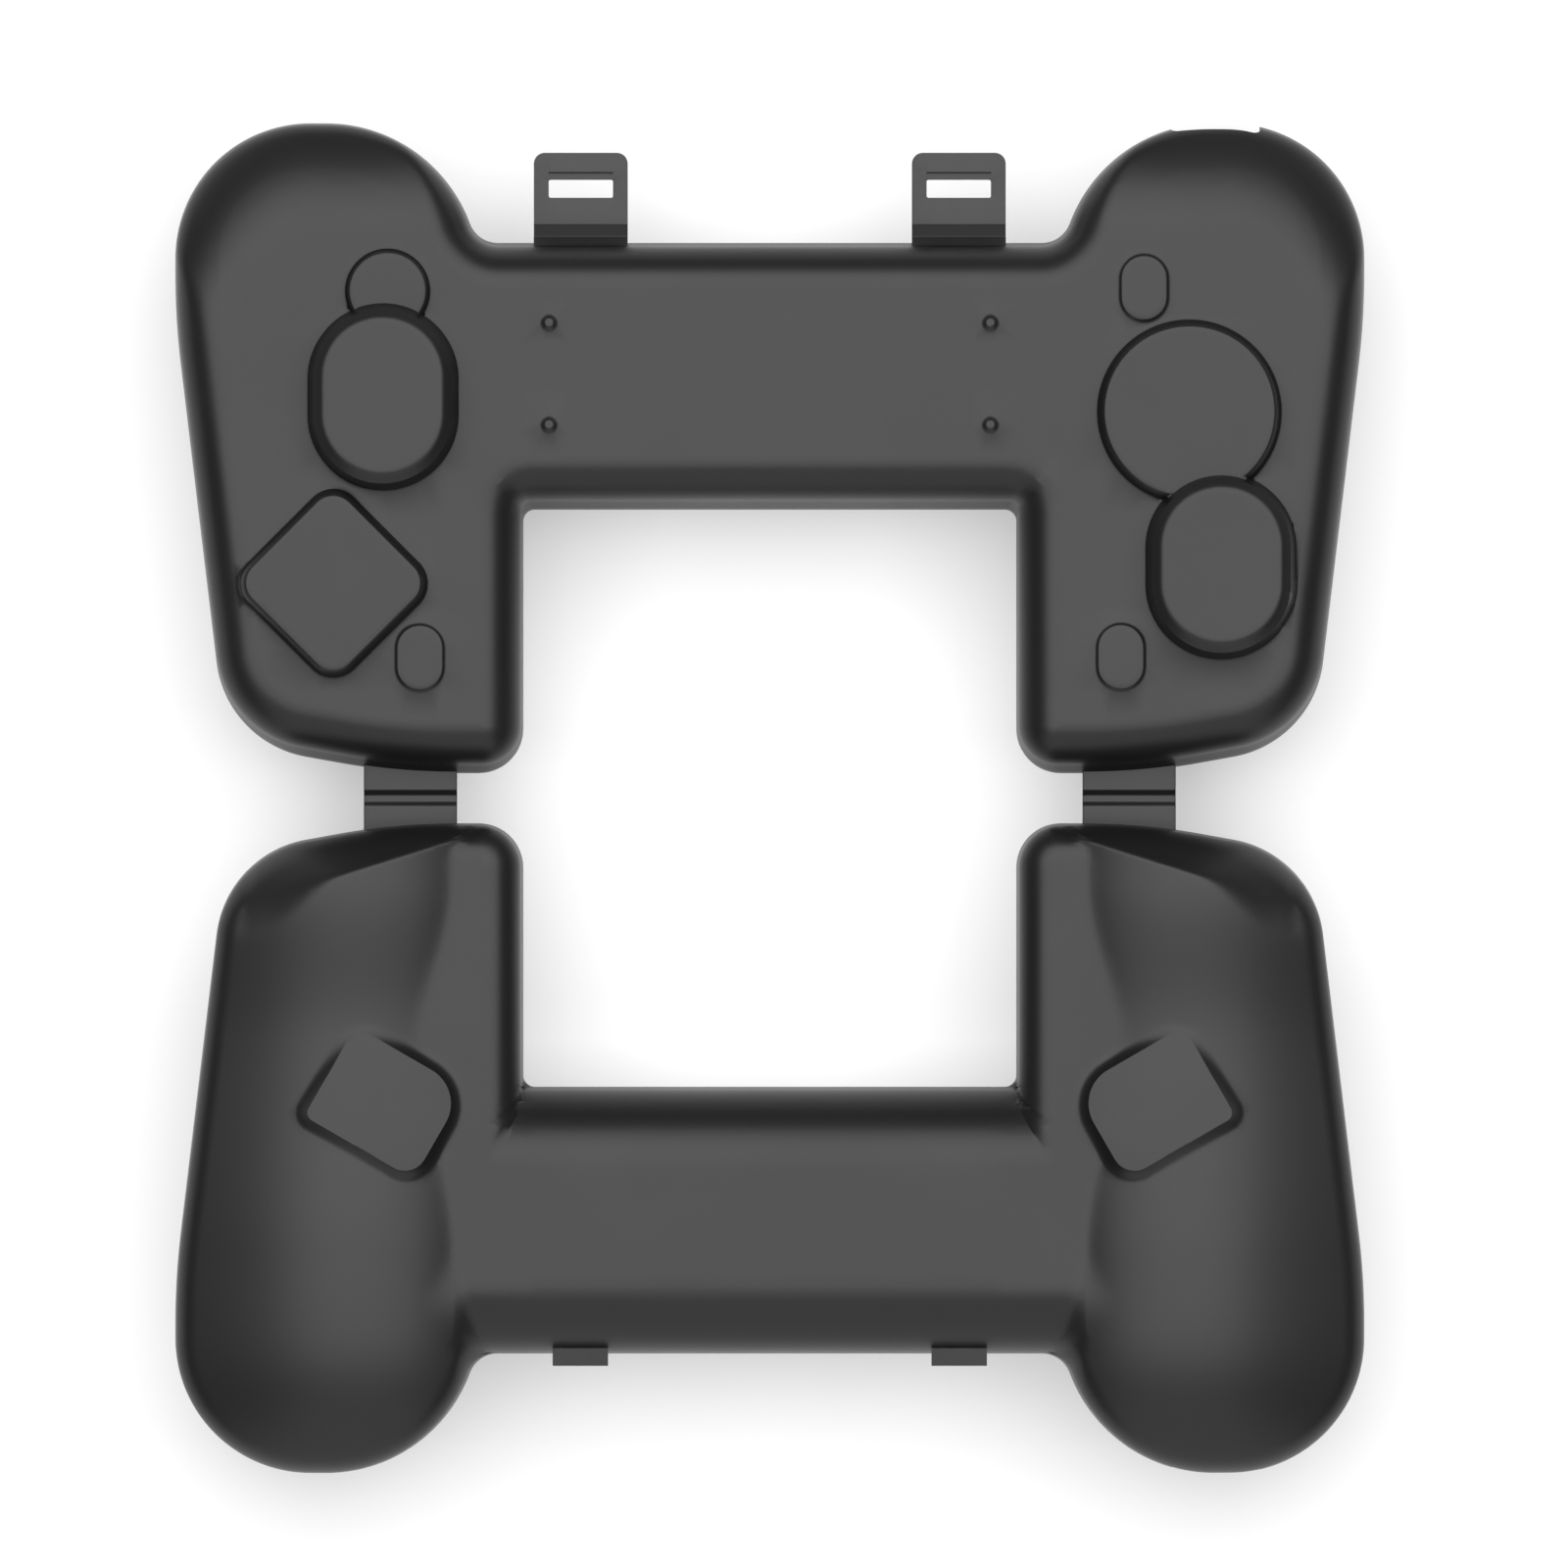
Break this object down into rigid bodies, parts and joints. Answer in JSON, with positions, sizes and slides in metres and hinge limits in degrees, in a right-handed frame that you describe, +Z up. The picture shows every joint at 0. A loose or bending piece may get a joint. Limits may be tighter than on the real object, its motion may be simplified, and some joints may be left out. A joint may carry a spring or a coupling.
{
  "type": "game controller case",
  "caption": "Hard folding cover for a handheld game controller: front and rear shells on film hinges, with snap latch tabs.",
  "frame": {"origin": "middle of the fold line between the shells, on the plane of the rims the open cover rests on", "axes": "+X along the bar to the right, +Y from the rear shell to the front shell, +Z up, out of the shells"},
  "size_m": [0.185, 0.21, 0.019],
  "materials": {
    "cover_plastic": "fine satin moulded polypropylene, near black"
  },
  "bodies": {
    "front": {"front_shell": "cover_plastic", "front_strap_left": "cover_plastic", "front_strap_right": "cover_plastic", "latch_root_left": "cover_plastic", "latch_root_right": "cover_plastic"},
    "rear": {"rear_shell": "cover_plastic", "rear_strap_left": "cover_plastic", "rear_strap_right": "cover_plastic", "catch_left": "cover_plastic", "catch_right": "cover_plastic"},
    "latch_left": {"latch_tab_left": "cover_plastic"},
    "latch_right": {"latch_tab_right": "cover_plastic"}
  },
  "joints": [
    {"name": "rear_fold", "type": "hinge", "parent": "front", "child": "rear", "pos_m": [0, 0, 0], "axis": [1, 0, 0], "range_deg": [0, 180]},
    {"name": "latch_left_fold", "type": "hinge", "parent": "front", "child": "latch_left", "pos_m": [-0.0294, 0.0873, 0], "axis": [1, 0, 0], "range_deg": [-90, 0]},
    {"name": "latch_right_fold", "type": "hinge", "parent": "front", "child": "latch_right", "pos_m": [0.0294, 0.0873, 0], "axis": [1, 0, 0], "range_deg": [-90, 0]}
  ]
}
